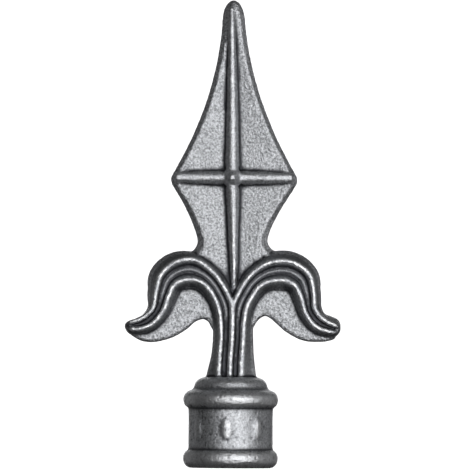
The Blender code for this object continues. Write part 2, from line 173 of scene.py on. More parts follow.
# Each arm's centre line as cast, right (1) and left (-1), as shares: of the reach, of the rise,
# of the ridges' half gap, of the inner wall's width, of the outer wall's width
ARM_LINE = {
    1: (
        (0.0390, 0.00, 0.875, 2.04, 1.05),
        (0.0420, 0.18, 0.875, 1.57, 1.05),
        (0.0505, 0.35, 0.880, 1.37, 1.05),
        (0.0540, 0.53, 0.950, 1.12, 1.05),
        (0.069, 0.65, 1.075, 1.04, 1.05),
        (0.112, 0.75, 1.050, 1.04, 1.05),
        (0.235, 0.909, 1.175, 1.20, 1.20),
        (0.397, 0.974, 1.500, 1.44, 1.68),
        (0.524, 0.967, 1.525, 1.36, 1.76),
        (0.627, 0.901, 1.425, 1.24, 1.60),
        (0.681, 0.77, 1.075, 1.20, 1.25),
        (0.720, 0.60, 0.800, 1.12, 1.15),
        (0.801, 0.504, 0.800, 0.92, 0.90),
        (0.865, 0.470, 0.700, 0.84, 1.15),
        (0.914, 0.455, 0.600, 0.76, 1.15),
    ),
    -1: (
        (0.0620, 0.00, 0.875, 1.68, 1.05),
        (0.0590, 0.18, 0.875, 1.05, 1.05),
        (0.0505, 0.35, 0.880, 0.99, 1.05),
        (0.0540, 0.53, 0.950, 1.02, 1.05),
        (0.069, 0.65, 1.075, 1.04, 1.05),
        (0.112, 0.75, 1.050, 1.04, 1.05),
        (0.235, 0.911, 1.175, 1.20, 1.15),
        (0.397, 0.983, 1.600, 1.44, 1.35),
        (0.500, 0.962, 1.525, 1.36, 1.72),
        (0.600, 0.885, 1.325, 1.24, 1.88),
        (0.645, 0.765, 1.075, 1.20, 1.45),
        (0.694, 0.60, 0.800, 1.12, 0.92),
        (0.795, 0.501, 0.800, 0.92, 0.45),
        (0.860, 0.476, 0.700, 0.84, 0.45),
        (0.903, 0.469, 0.600, 0.76, 0.35),
    ),
}

# Underside of each web, from the stem out to the arm's tip, as shares of the reach and the rise
WEB_UNDERSIDE = {
    1: (
        (0.140, 0.390),
        (0.190, 0.445),
        (0.222, 0.500),
        (0.258, 0.541),
        (0.297, 0.562),
        (0.333, 0.552),
        (0.405, 0.495),
        (0.479, 0.430),
        (0.553, 0.384),
        (0.627, 0.349),
        (0.700, 0.331),
        (0.775, 0.328),
        (0.885, 0.336),
        (0.955, 0.358),
    ),
    -1: (
        (0.140, 0.390),
        (0.190, 0.450),
        (0.225, 0.510),
        (0.259, 0.528),
        (0.333, 0.508),
        (0.406, 0.445),
        (0.480, 0.396),
        (0.554, 0.357),
        (0.628, 0.334),
        (0.728, 0.315),
        (0.838, 0.330),
        (0.925, 0.377),
    ),
}

# Heights and radii that follow
BODY_RADIUS = SOCKET_OUTER - BEAD_PROUD
TOP_BEAD_END = BAR_STOP + TOP_BEAD_ABOVE_BORE
TOP_BEAD_START = TOP_BEAD_END - TOP_BEAD_UPPER_HEIGHT - TOP_BEAD_LOWER_HEIGHT
COLLAR_RADIUS = SOCKET_OUTER - COLLAR_STEP
SHOULDER_TOP = TOP_BEAD_END + COLLAR_HEIGHT + SHOULDER[1]
WIDEST_Z = HEIGHT - WIDEST_BELOW_TIP
WAIST_Z = WIDEST_Z - WAIST_BELOW_WIDEST
HEEL_Z = WAIST_Z - HEEL_BELOW_WAIST
CROSSING_Z = WIDEST_Z + CROSS_RIB_ABOVE_WIDEST

# Points of the grids: across a wall, across half a field, round a rod, over a rounded edge
WALL_POINTS = 9
FIELD_POINTS = 26
ROD_POINTS = 48
EDGE_STEPS = 6

# Fineness of the casting's mesh, and passes of averaging: of the socket's corners, the arms' inner
# feet, the whole skin, and the skins against which edges and hollows are told
VOXEL = 0.37
KEPT_FACES = 0.66
BOX_MARGIN = 0.01
CORNER_PASSES = 8
FOOT_PASSES = 110
FOOT_KEPT_ROWS = 16
FOOT_EASED_ROWS = 40
ROUNDING_PASSES = 2
EDGE_PASSES = 6
HOLLOW_PASSES = 25

# Where the sanded fields and the arms' troughs lie
FIELD_START = 6.0
FIELD_START_SPAN = 3.0
FIELD_DEPTH_MARGIN = 0.45
FIELD_DEPTH_SPAN = 0.35
TROUGH_ABOVE_ARMS = 8.0
TROUGH_SPAN = 2.0
TROUGH_TOP_DEPTH = 4.8
TROUGH_DEPTH_SPAN = 0.5
RIB_HEEL_ON_ARMS = 0.8

# Wear, as (start, span) of the height over the averaged skin, and its shares, then the span and
# shares of the painted shade laid in hollows, the arms' troughs and pits
RUBBED_EDGE = (0.03, 0.13)
RUBBED_CREST = (-0.02, 0.12)
RUBBED_SWELLING = (0.04, 0.18)
RUBBED_RIDGE = 0.22
FIELD_SPARED = 0.6
BLADE_SPARED = 0.6
# Painted shade: a darker colour that stands in for the shade falling in hollows, troughs and pits
HOLLOW_SHADE_SPAN = 0.2
TROUGH_SHADE = 0.5
TROUGH_FLOOR_SHADE = 0.4
TROUGH_FLOOR_SPAN = 0.08
PIT_SHADE = 0.6

# Unevenness: the seed, the lattice's size, each noise's cell and how far it lifts the skin. The
# grain is two noises, as (share, cell); the bore is left even up to a little past its wall and end
SEED = 7
LATTICE_SIZE = 61
GRAIN_CELLS = ((0.6, 0.75), (0.4, 0.5))
GRAIN_LIFT = 0.045
FIELD_GRAIN_LIFT = 0.04
BLADE_GRAIN_LIFT = 0.03
LUMP_CELL = 0.75
LUMP_LIFT = 0.13
SWELL_CELL = 5.0
SWELL_LIFT = 0.03
PIT_CELL = 0.9
PIT_LEVEL = (0.5, 0.2)
PIT_SINK = 0.08
BORE_CLEAR = (0.3, 1.0)

# Lights: name, azimuth from the camera to the right and elevation in degrees, size in m, watts
LIGHT_DISTANCE = 1.0
LIGHTS = (
    ("key", 18, 2, (1.5, 1.0), 11.5),
    ("right_side", 110, 0, (0.9, 1.0), 0.6),
    ("left_side", -125, 0, (0.7, 1.0), 0.4),
    ("behind", 180, 8, (0.8, 0.8), 2.5),
)
AIR_STRENGTH = 0.04
FLOOR_SIZE, FLOOR_STRENGTH = 6.0, 1.0
BACKDROP_RADIUS, BACKDROP_STRENGTH = 3.0, 1.2

# Camera: the picture's size in pixels, where the finial stands in it and how far its axis leans
PICTURE_PIXELS = 470
BASE_PIXEL = 468.0
AXIS_PIXEL = 230.3
AXIS_LEAN = 0.0070
LENS, SENSOR = 570.0, 36.0
EYE_HEIGHT = 25.0


def skin(rings):
    """Points and faces of a closed surface over a grid of (ring, place on the ring) points.

    Each quad joins neighbours on two rings, the last place joins the first, and each end ring is
    closed by one face.
    """
    rings = np.asarray(rings, float)
    count, places = rings.shape[:2]
    here = np.arange(places)
    after = np.roll(here, -1)
    start = places * np.arange(count - 1)[:, None]
    corners = [start + here, start + after, start + places + after, start + places + here]
    quads = np.stack(corners, -1)
    ends = [here[::-1].tolist(), (here + places * (count - 1)).tolist()]
    return rings.reshape(-1, 3), quads.reshape(-1, 4).tolist() + ends


def front_and_back(front):
    """Rings from front points (x, depth toward -Y, z), closed by their mirror at the back."""
    back = front[..., ::-1, :].copy()
    front = front * [1, -1, 1]
    return np.concatenate([front, back], axis=-2)


def smooth_rows(rows, steps):
    """Rows of numbers joined by cubics whose slopes come from the rows on each side."""
    rows = np.array(rows, float)
    gaps = np.hypot(np.diff(rows[:, 0]), np.diff(rows[:, 1]))
    at = np.concatenate([[0.0], np.cumsum(gaps)])
    slopes = np.gradient(rows, at, axis=0)
    t = (np.arange(1, steps + 1) / steps)[None, :, None]
    gap = gaps[:, None, None]
    start, end = rows[:-1, None], rows[1:, None]
    series = (
        start * (1 + 2 * t) * (1 - t) ** 2
        + slopes[:-1, None] * gap * t * (1 - t) ** 2
        + end * t**2 * (3 - 2 * t)
        + slopes[1:, None] * gap * t**2 * (t - 1)
    )
    return np.concatenate([rows[:1], series.reshape(-1, rows.shape[1])])


def ease(value):
    """A smooth step from 0 at 0 to 1 at 1: three times the square less twice the cube."""
    value = np.clip(value, 0, 1)
    return value**2 * (3 - 2 * value)


def rise(value, start, span):
    """The smooth step from 0 at the start to 1 a span further on."""
    return ease((value - start) / span)


def blade_half_width(z):
    """Half width: a parabola down from the nose, cut off by the lower edge's power curve."""
    down = (HEIGHT - z) / WIDEST_BELOW_TIP
    upper = NOSE_HALF_WIDTH + (BLADE_HALF_WIDTH - NOSE_HALF_WIDTH) * down**2
    up = np.maximum(z - WAIST_Z, 0) / WAIST_BELOW_WIDEST
    lower = WAIST_HALF_WIDTH + (BLADE_HALF_WIDTH - WAIST_HALF_WIDTH) * up**LOWER_EDGE_POWER
    overlap = np.maximum(CORNER_BLEND - np.abs(upper - lower), 0)
    width = np.minimum(upper, lower) - overlap**2 / (4 * CORNER_BLEND)
    taper = np.clip((z - HEEL_Z) / HEEL_TAPER, 0, 1)
    return HEEL_HALF_WIDTH + (width - HEEL_HALF_WIDTH) * taper


def blade():
    """The spear plate: depth over (place across, height).

    Across the width the depth climbs from the edge's land to a rounded rim, then falls in a
    straight line to the middle. An ellipse shortens both width and depth toward the nose.
    """
    even = np.linspace(HEEL_Z, HEIGHT - NOSE_LENGTH, 240)
    nose = HEIGHT - NOSE_LENGTH * (1 - np.sin(np.linspace(0, math.pi / 2, 25)[1:]))
    z = np.concatenate([even, nose])[:, None]
    share = np.sqrt(1 - NOSE_BLUNTING * np.maximum(1 - (HEIGHT - z) / NOSE_LENGTH, 0) ** 2)
    half = blade_half_width(z) * share
    rim_width = np.interp(z, [WAIST_Z, WIDEST_Z], [WAIST_RIM_WIDTH, RIM_WIDTH])
    rim = half - np.minimum(rim_width, RIM_WIDEST_SHARE * half)
    wall = np.linspace(1, 0, WALL_POINTS)[None, :-1]
    field = np.linspace(1, 0, FIELD_POINTS)[None, :]
    dish = FACE_DISH * np.clip((HEIGHT - z) / DISH_FADE - DISH_START, -DISH_START, 1.0)
    wall_x = rim + (half - rim) * wall
    wall_depth = EDGE_LAND + (RIM_DEPTH - EDGE_LAND) * (1 - wall)
    field_x = rim * field
    field_depth = RIM_DEPTH - dish * (1 - field)
    x = np.concatenate([wall_x, field_x], axis=1)
    depth = np.concatenate([wall_depth + 0 * half, field_depth], axis=1) * share
    x = np.concatenate([x, -x[:, -2::-1]], axis=1)
    depth = np.concatenate([depth, depth[:, -2::-1]], axis=1)
    return skin(front_and_back(np.stack([x, depth, z + 0 * x], axis=-1)))


def whole_turn(points):
    """Evenly spaced angles once round, as a row."""
    return np.linspace(0, 2 * math.pi, points, endpoint=False)[None, :]


def signed_power(value, power):
    """A power of the value's size that keeps its sign."""
    return np.sign(value) * np.abs(value) ** power


def oval_rod(along, across, depth, axis):
    """A rod of squarish oval section: half width and half depth times powers of cos and sin."""
    angle = whole_turn(ROD_POINTS)
    along = np.asarray(along)[:, None] + 0 * angle
    power = 2 / ROD_SQUARENESS
    swing = np.asarray(across)[:, None] * signed_power(np.cos(angle), power)
    lift = np.asarray(depth)[:, None] * signed_power(np.sin(angle), power)
    if axis == "z":
        return skin(np.stack([rib_middle(along) + swing, lift, along], axis=-1))
    return skin(np.stack([along, lift, CROSSING_Z - swing], axis=-1))


def rib_middle(z):
    """Where the long rib runs: off the blade's middle by an eased step from waist to crossing."""
    shift = RIB_OFFSET - RIB_HEEL_OFFSET
    return RIB_HEEL_OFFSET + shift * rise(z, WAIST_Z, CROSSING_Z - WAIST_Z)


def long_rib():
    """The rib down the blade: half width and depth are curves of the height between set stops."""
    heel, tip = np.array(RIB_HEEL_STOPS).T, np.array(RIB_TIP_STOPS).T
    heel_z, tip_z = WAIST_Z - heel[0] * RIB_HEEL_BELOW_WAIST, HEIGHT - tip[0] * RIB_TIP_GAP
    heel_width, tip_width = heel[1] * RIB_HEEL_HALF_WIDTH, tip[1] * RIB_TIP_HALF_WIDTH
    stops = np.concatenate([heel_z, [CROSSING_Z], tip_z])
    widths = np.concatenate([heel_width, [RIB_CROSSING_HALF_WIDTH], tip_width])
    depths = RIB_DEPTH * np.concatenate([heel[2], [1.0], tip[2]])
    z = np.linspace(stops[0], stops[-1], 220)
    return oval_rod(z, np.interp(z, stops, widths), np.interp(z, stops, depths), "z")


def cross_rib():
    """The rib across the widest part: width and depth grow evenly from its ends to its middle."""
    reach = blade_half_width(np.array([CROSSING_Z]))[0] - RIM_WIDTH
    share = np.linspace(-1, 1, 121)
    near = 1 - np.abs(share)
    height = CROSS_RIB_END_HALF_HEIGHT + near * (CROSS_RIB_HALF_HEIGHT - CROSS_RIB_END_HALF_HEIGHT)
    depth = CROSS_RIB_END_DEPTH + near * (CROSS_RIB_DEPTH - CROSS_RIB_END_DEPTH)
    return oval_rod(share * reach, height, depth, "x")


def boss():
    """The dome where the ribs cross: rings of a squarish power curve, narrower toward its top."""
    share = np.linspace(-1, 1, 41)[:, None]
    angle = whole_turn(ROD_POINTS)
    swell = np.minimum((1 - np.abs(share)) / BOSS_ROUNDED_SHARE, 1.0)
    wide = BOSS_TOP_HALF_WIDTH + (BOSS_HALF_WIDTH - BOSS_TOP_HALF_WIDTH) * swell
    power = BOSS_SQUARENESS
    square = 1 / (np.abs(np.cos(angle)) ** power + np.abs(np.sin(angle)) ** power) ** (1 / power)
    x = RIB_OFFSET + wide * square * np.cos(angle)
    z = CROSSING_Z - wide * square * np.sin(angle)
    return skin(np.stack([x, BOSS_DEPTH * share + 0 * x, z], axis=-1))


def arm_rows(side, steps):
    """An arm's rows: distance out, height, half ridge gap, inner wall, outer wall."""
    full = [ARM_REACH, ARM_RISE, RIDGE_HALF_GAP, INNER_WALL_WIDTH, OUTER_WALL_WIDTH]
    rows = np.array(ARM_LINE[side]) * full + [0, SHOULDER_TOP, 0, 0, 0]
    foot = rows[:1] - [0, STEM_SINK, 0, 0, 0]
    return smooth_rows(np.concatenate([foot, rows]), steps)


def arm_section(half_gap, inner, outer):
    """Depth across an arm, as arrays of (distance toward the outer side, depth) points.

    Straight lines joined at their ends: outer wall, ridge, valley, low middle ridge, valley,
    ridge, inner wall. Each ridge has a small round crown.
    """
    wall = np.linspace(0, 1, WALL_POINTS)
    crown = np.linspace(-1, 1, 7)
    slope = np.linspace(0, 1, 7)[1:]
    flat = RIDGE_WIDTH / 2
    crest = half_gap - flat
    valley = VALLEY_SHARE * crest

    def line(start, end, share):
        """Depths in a straight line from start to end, the same in every row."""
        return start + (end - start) * share + 0 * half_gap

    crown_depth = RIDGE_DEPTH + RIDGE_CROWN * (1 - crown**2) + 0 * half_gap
    across = [
        half_gap + outer + (flat - outer) * wall[:-1],
        half_gap - flat * crown,
        crest + (valley - crest) * slope,
        valley * (1 - slope),
        -valley * slope,
        -valley - (crest - valley) * slope[:-1],
        -half_gap - flat * crown,
        -half_gap - flat - (inner - flat) * wall[1:],
    ]
    depth = [
        line(OUTER_LAND, RIDGE_DEPTH, wall[:-1]),
        crown_depth,
        line(RIDGE_DEPTH, VALLEY_DEPTH, slope),
        line(VALLEY_DEPTH, MIDDLE_DEPTH, slope),
        line(MIDDLE_DEPTH, VALLEY_DEPTH, slope),
        line(VALLEY_DEPTH, RIDGE_DEPTH, slope[:-1]),
        crown_depth,
        line(RIDGE_DEPTH, WEB_DEPTH - WEB_BEVEL / 2, wall[1:]),
    ]
    return np.concatenate(across, axis=1), np.concatenate(depth, axis=1)


def averaged(line, passes):
    """A line of points or numbers, each averaged with its neighbours pass by pass, ends kept."""
    line = line.copy()
    for _ in range(passes):
        line[1:-1] = (line[:-2] + 2 * line[1:-1] + line[2:]) / 4
    return line


def eased_wall(values):
    """Redraw the inner wall straight to a foot that is averaged along the arm, so it never folds.

    Toward the tip the foot eases back to its own line.
    """
    drawn = values[:, -1]
    from_tip = np.arange(len(drawn))[::-1]
    share = rise(from_tip, FOOT_KEPT_ROWS, FOOT_EASED_ROWS)
    foot = drawn + (averaged(drawn, FOOT_PASSES) - drawn) * share
    top = values[:, -WALL_POINTS, None].copy()
    values[:, -WALL_POINTS:] = top + (foot[:, None] - top) * np.linspace(0, 1, WALL_POINTS)


def directions(line):
    """The unit direction of travel at each point of a line."""
    along = np.gradient(line, axis=0)
    return along / np.linalg.norm(along, axis=1)[:, None]


def arm(side):
    """An arm: its section carried along the centre line, with an elliptical end at the tip."""
    rows = arm_rows(side, 16)
    along = directions(rows[:, :2])
    turn = np.linspace(0, math.pi / 2, 17)[1:, None]
    tip = np.repeat(rows[-1:], len(turn), axis=0)
    tip[:, :2] += along[-1] * ARM_TIP_ROUNDING * np.sin(turn)
    tip_share = np.maximum(np.cos(turn), ARM_TIP_LEAST_WIDTH)
    share = np.concatenate([np.ones((len(rows), 1)), tip_share])
    rows = np.concatenate([rows, tip])
    along = np.concatenate([along, np.repeat(along[-1:], len(turn), axis=0)])
    across, depth = arm_section(rows[:, 2:3], rows[:, 3:4], rows[:, 4:5])
    x = rows[:, 0:1] - along[:, 1:2] * across * share
    z = rows[:, 1:2] + along[:, 0:1] * across * share
    eased_wall(x)
    eased_wall(z)
    depth = depth * (ARM_TIP_LEAST_DEPTH + (1 - ARM_TIP_LEAST_DEPTH) * share)
    return skin(front_and_back(np.stack([side * x, depth, z], axis=-1)))


def plate(side, outlines):
    """A plate even on both faces, from (outline, depth) pairs that run from its middle out."""
    rings = [np.column_stack([side * o[:, 0], 0 * o[:, 0] - d, o[:, 1]]) for o, d in outlines]
    back = [ring * [1, -1, 1] for ring in rings]
    return skin(np.stack(back[::-1] + rings))


def web(side):
    """The web in an arm's hook: its underside is rounded over by a quarter circle of insets."""
    edge = np.array(WEB_UNDERSIDE[side]) * [ARM_REACH, ARM_RISE] + [0, SHOULDER_TOP]
    underside = smooth_rows(edge, 12)
    along = directions(underside)
    inward = np.column_stack([-along[:, 1], along[:, 0]])
    steps = 4
    under_arm = arm_rows(side, steps)[WEB_ROOT_ROW * steps :, :2][::-1]
    outlines = []
    for turn in np.linspace(0, math.pi / 2, EDGE_STEPS):
        inset = underside + WEB_BEVEL * (1 - math.cos(turn)) * inward
        depth = WEB_DEPTH - WEB_BEVEL * (1 - math.sin(turn))
        outlines.append((np.concatenate([inset, under_arm]), depth))
    return plate(side, outlines)


def waist_fillet(side):
    """The inside corner between the blade's lower edge and the arm.

    Arcs about one centre, each larger and deeper than the last, so that its front slopes as the
    blade's wall does.
    """
    rows = arm_rows(side, 8)
    arch = rows[np.argmax(rows[:, 1])]
    arm_top = arch[1] + arch[2] + arch[4]
    turn = np.radians(np.linspace(*NOTCH_FILLET_TURN, 30))
    centre = np.array([WAIST_HALF_WIDTH + NOTCH_FILLET, arm_top + NOTCH_FILLET - EDGE_LAND])
    way = np.column_stack([np.cos(turn), np.sin(turn)])
    outlines = []
    for share in np.linspace(0, 1, EDGE_STEPS):
        curve = centre + (NOTCH_FILLET + WAIST_RIM_WIDTH * share) * way
        hidden = centre + (NOTCH_FILLET + NOTCH_FILLET_COVER * WAIST_RIM_WIDTH) * way[::-1]
        depth = EDGE_LAND + (RIM_DEPTH - EDGE_LAND) * share
        outlines.append((np.concatenate([curve, hidden]), depth))
    return plate(side, outlines)


def arc(centre, radii, start, end, steps):
    """Points on an upright ellipse's arc, with angles in degrees from +X toward +Z."""
    angle = np.radians(np.linspace(start, end, steps + 1))
    return np.array(centre) + np.array(radii) * np.column_stack([np.cos(angle), np.sin(angle)])


def socket_profile():
    """(radius, height) points from the shoulder down the outside, round the rim and up the bore.

    Beads and shoulder are quarters of ellipses and the body between them is lightly waisted. The
    corners between them are eased by averaging each point with its neighbours along the outside.
    """
    bead_z = TOP_BEAD_START + TOP_BEAD_LOWER_HEIGHT
    rim_x, rim_z = SOCKET_OUTER - RIM_ROUNDING[0], RIM_ROUNDING[1]
    shoulder_x = COLLAR_RADIUS - COLLAR_DRAFT - SHOULDER[0]
    shoulder_z = TOP_BEAD_END + COLLAR_HEIGHT
    upper_radii = (COLLAR_STEP, TOP_BEAD_UPPER_HEIGHT)
    upper_bead = arc((COLLAR_RADIUS, bead_z), upper_radii, TOP_BEAD_START_ANGLE, 0, 24)
    lower_bead = arc((BODY_RADIUS, bead_z), (BEAD_PROUD, TOP_BEAD_LOWER_HEIGHT), 0, -90, 24)
    rim_bead = arc((BODY_RADIUS, rim_z), (BEAD_PROUD, RIM_BEAD_HEIGHT - rim_z), 90, 0, 24)
    share = np.linspace(0, 1, BODY_POINTS + 2)[1:-1, None]
    body = lower_bead[-1] + (rim_bead[0] - lower_bead[-1]) * share
    body[:, 0] -= BODY_WAIST * np.sin(math.pi * share[:, 0])
    outside = np.concatenate(
        [
            arc((shoulder_x, shoulder_z), SHOULDER, SHOULDER_START_ANGLE, 0, 24),
            upper_bead,
            lower_bead[1:],
            body,
            rim_bead,
            arc((rim_x, rim_z), RIM_ROUNDING, 0, -90, 24)[1:],
        ]
    )
    steps = np.hypot(*np.diff(outside, axis=0).T)
    at = np.concatenate([[0], np.cumsum(steps)])
    even = np.linspace(0, at[-1], OUTSIDE_POINTS)
    outside = np.column_stack([np.interp(even, at, values) for values in outside.T])
    outside = averaged(outside, CORNER_PASSES)
    top = [(TOP_OPENING, SHOULDER_TOP), (shoulder_x - SHOULDER[0] / 2, SHOULDER_TOP)]
    bore = [
        (BORE_RADIUS + MOUTH_CHAMFER, 0),
        (BORE_RADIUS, MOUTH_CHAMFER),
        (BORE_RADIUS, BAR_STOP),
    ]
    return np.concatenate([top, outside, bore])


def socket():
    """The socket: its profile turned about Z, radius and height over (place on it, angle)."""
    profile = socket_profile()
    angle = whole_turn(240)
    radius, z = profile[:, :1], profile[:, 1:]
    rings = [radius * np.cos(angle), -radius * np.sin(angle), z + 0 * angle]
    return skin(np.stack(rings, axis=-1))


def oval(degrees):
    """A raised oval: an ellipsoid whose middle lies just under the socket's wall."""
    up = np.radians(np.linspace(-OVAL_END_ANGLE, OVAL_END_ANGLE, 33))[:, None]
    round_it = whole_turn(32)
    across = OVAL_SIZE[0] / 2 * np.cos(up) * np.cos(round_it)
    out = BODY_RADIUS - OVAL_PROUD + 2 * OVAL_PROUD * np.cos(up) * np.sin(round_it)
    turn = math.radians(degrees)
    x = across * math.cos(turn) + out * math.sin(turn)
    y = across * math.sin(turn) - out * math.cos(turn)
    z = (RIM_BEAD_HEIGHT + TOP_BEAD_START) / 2 + OVAL_SIZE[1] / 2 * np.sin(up) + 0 * across
    return skin(np.stack([x, y, z], axis=-1))


def lattice_noise(points, cell, seed):
    """Smooth noise from -1 to 1: random numbers on a cubic lattice of the given cell, blended."""
    shape = (LATTICE_SIZE, LATTICE_SIZE, LATTICE_SIZE)
    values = np.random.default_rng(seed).uniform(-1, 1, shape)
    at = points / cell
    low = np.floor(at).astype(int)
    part = ease(at - low)
    total = np.zeros(len(points))
    for corner in np.ndindex(2, 2, 2):
        weight = np.prod(np.where(corner, part, 1 - part), axis=1)
        index = (low + corner) % LATTICE_SIZE
        total += weight * values[index[:, 0], index[:, 1], index[:, 2]]
    return total


def fused(shells):
    """All shells in one mesh, made one skin by a fine voxel remesh."""
    points, faces, start = [], [], 0
    for shell_points, shell_faces in shells:
        points.append(shell_points)
        faces += [[start + index for index in face] for face in shell_faces]
        start += len(shell_points)
    mesh = bpy.data.meshes.new("casting_rough")
    mesh.from_pydata((np.concatenate(points) * MM).tolist(), [], faces)
    made = bpy.data.objects.new("casting", mesh)
    bpy.context.scene.collection.objects.link(made)
    remesh = made.modifiers.new("fuse", "REMESH")
    remesh.mode = "VOXEL"
    remesh.voxel_size = VOXEL * MM
    settle(made)
    return made


def thin(made):
    """Fewer faces where the skin is nearly flat: edges whose loss changes it least collapse."""
    fewer = made.modifiers.new("thin", "DECIMATE")
    fewer.ratio = KEPT_FACES
    settle(made)


def settle(made):
    """Make the modifiers' result the object's own mesh."""
    graph = bpy.context.evaluated_depsgraph_get()
    made.data = bpy.data.meshes.new_from_object(made.evaluated_get(graph))
    made.modifiers.clear()


def read(items, name, width, kind=float):
    """A property of all of a mesh's points or edges, one row for each."""
    values = np.empty(len(items) * width, kind)
    items.foreach_get(name, values)
    return values.reshape(-1, width)


def rounded(points, edges, valence, passes):
    """The points after each pass has moved all of them halfway to the mean of their neighbours."""
    for _ in range(passes):
        total = np.zeros_like(points)
        np.add.at(total, edges[:, 0], points[edges[:, 1]])
        np.add.at(total, edges[:, 1], points[edges[:, 0]])
        points = points + 0.5 * (total / valence[:, None] - points)
    return points


def bow(points):
    """Shift points along X: half a sine wave from shoulder to tip, a bell curve at the waist."""
    part = np.clip((points[:, 2] - SHOULDER_TOP) / (HEIGHT - SHOULDER_TOP), 0, 1)
    points[:, 0] += CASTING_BOW * np.sin(math.pi * part)
    from_waist = (points[:, 2] - WAIST_Z - WAIST_SHIFT_RISE) / WAIST_SHIFT_REACH
    points[:, 0] += WAIST_SHIFT * np.exp(-(from_waist**2))


def field_share(points):
    """1 on the sanded fields of blade and webs, 0 on ribs, ridges and socket."""
    depth = np.abs(points[:, 1])
    above = rise(points[:, 2], SHOULDER_TOP + FIELD_START, FIELD_START_SPAN)
    return above * ease((RIM_DEPTH + FIELD_DEPTH_MARGIN - depth) / FIELD_DEPTH_SPAN)


def arm_trough(points):
    """1 on the walls and troughs of arms and stem, below their ridges and above the webs."""
    depth, z = np.abs(points[:, 1]), points[:, 2]
    above_socket = rise(z, SHOULDER_TOP, TROUGH_SPAN)
    below_blade = ease((SHOULDER_TOP + ARM_RISE + TROUGH_ABOVE_ARMS - z) / TROUGH_SPAN)
    rib_heel = z > SHOULDER_TOP + RIB_HEEL_ON_ARMS * ARM_RISE
    rib_heel &= np.abs(points[:, 0]) < RIB_CROSSING_HALF_WIDTH
    below_ridges = ease((TROUGH_TOP_DEPTH - depth) / TROUGH_DEPTH_SPAN)
    above_webs = rise(depth, RIM_DEPTH, TROUGH_DEPTH_SPAN)
    return above_socket * below_blade * ~rib_heel * below_ridges * above_webs


def weather(made):
    """Round the casting's edges, bow it, and give it a sand mould's unevenness.

    The skin is compared with itself after a few and after many passes of averaging: where it
    stands out it is worn, where it lies deep it is darkened by painted shade, as are the arms'
    troughs and the socket's pits. Each point then moves along its normal by layered lattice noise.
    Attributes keep how worn, how darkened by painted shade, or how sanded each point is.
    """
    mesh = made.data
    edges = read(mesh.edges, "vertices", 2, int)
    valence = np.bincount(edges.reshape(-1), minlength=len(mesh.vertices)).astype(float)
    points = rounded(read(mesh.vertices, "co", 3) / MM, edges, valence, ROUNDING_PASSES)
    bow(points)
    mesh.vertices.foreach_set("co", (points * MM).reshape(-1))
    mesh.update()
    normals = read(mesh.vertex_normals, "vector", 3)

    slight = rounded(points, edges, valence, EDGE_PASSES)
    broad = rounded(slight, edges, valence, HOLLOW_PASSES - EDGE_PASSES)
    raised = np.sum((points - slight) * normals, axis=1)
    swollen = np.sum((points - broad) * normals, axis=1)

    field = field_share(points)
    trough = arm_trough(points)
    on_socket = points[:, 2] < SHOULDER_TOP
    on_blade = rise(points[:, 2], WAIST_Z, WIDEST_Z - WAIST_Z)
    lumps = lattice_noise(points, LUMP_CELL, SEED + 3)
    pits = on_socket * rise(lattice_noise(points, PIT_CELL, SEED + 4), *PIT_LEVEL)

    edge = rise(raised, *RUBBED_EDGE) * rise(swollen, *RUBBED_CREST)
    worn = np.maximum(edge, rise(swollen, *RUBBED_SWELLING))
    worn *= np.where(on_socket, 1.0, RUBBED_RIDGE + lumps)
    worn = worn * (1 - FIELD_SPARED * field) * (1 - BLADE_SPARED * on_blade) * (1 - trough)
    worn = np.clip(worn, 0, 1)
    # Painted shade: a share that darkens the colour in hollows, the arms' troughs and the socket's
    # pits, where shade falls
    trough_floor_shade = TROUGH_FLOOR_SHADE * ease(-swollen / TROUGH_FLOOR_SPAN)
    recess_shade = np.maximum(ease(-swollen / HOLLOW_SHADE_SPAN), trough * (TROUGH_SHADE + trough_floor_shade))
    painted_shade = np.maximum(recess_shade, PIT_SHADE * pits)

    grain_lift = GRAIN_LIFT + FIELD_GRAIN_LIFT * field + BLADE_GRAIN_LIFT * on_blade
    (share, cell), (fine_share, fine_cell) = GRAIN_CELLS
    grain = share * lattice_noise(points, cell, SEED)
    grain += fine_share * lattice_noise(points, fine_cell, SEED + 1)
    swell = lattice_noise(points, SWELL_CELL, SEED + 2)
    lift = grain * grain_lift + LUMP_LIFT * lumps * worn + SWELL_LIFT * swell - PIT_SINK * pits
    outside_bore = np.hypot(points[:, 0], points[:, 1]) > BORE_RADIUS + BORE_CLEAR[0]
    lift *= outside_bore | (points[:, 2] > BAR_STOP + BORE_CLEAR[1])
    points += normals * lift[:, None]
    points = np.clip(points, LOW + BOX_MARGIN, HIGH - BOX_MARGIN)
    mesh.vertices.foreach_set("co", (points * MM).reshape(-1))
    for name, values in (("worn", worn), ("painted_shade", painted_shade), ("field", field)):
        layer = mesh.attributes.new(name, "FLOAT", "POINT")
        layer.data.foreach_set("value", values.astype(np.float32))
    mesh.update()


def linear(hex_colour):
    """An sRGB hex colour as linear RGBA."""
    parts = [int(hex_colour[i : i + 2], 16) / 255 for i in (1, 3, 5)]
    return [c / 12.92 if c <= 0.04045 else ((c + 0.055) / 1.055) ** 2.4 for c in parts] + [1.0]


def add(tree, kind, settings=None, **links):
    """Add a node: settings are properties or sockets by name, links join sockets to sources."""
    node = tree.nodes.new(kind)
    for name, value in (settings or {}).items():
        if hasattr(node, name):
            setattr(node, name, value)
        else:
            node.inputs[name].default_value = value
    for name, source in links.items():
        tree.links.new(source, node.inputs[name.replace("_", " ")])
    return node


def mix(tree, first, second, share):
    """One colour blended into another by a share."""
    node = add(tree, "ShaderNodeMix", {"data_type": "RGBA"})
    for socket_index, value in ((6, first), (7, second)):
        if isinstance(value, list):
            node.inputs[socket_index].default_value = value
        else:
            tree.links.new(value, node.inputs[socket_index])
    tree.links.new(share, node.inputs[0])
    return node.outputs[2]


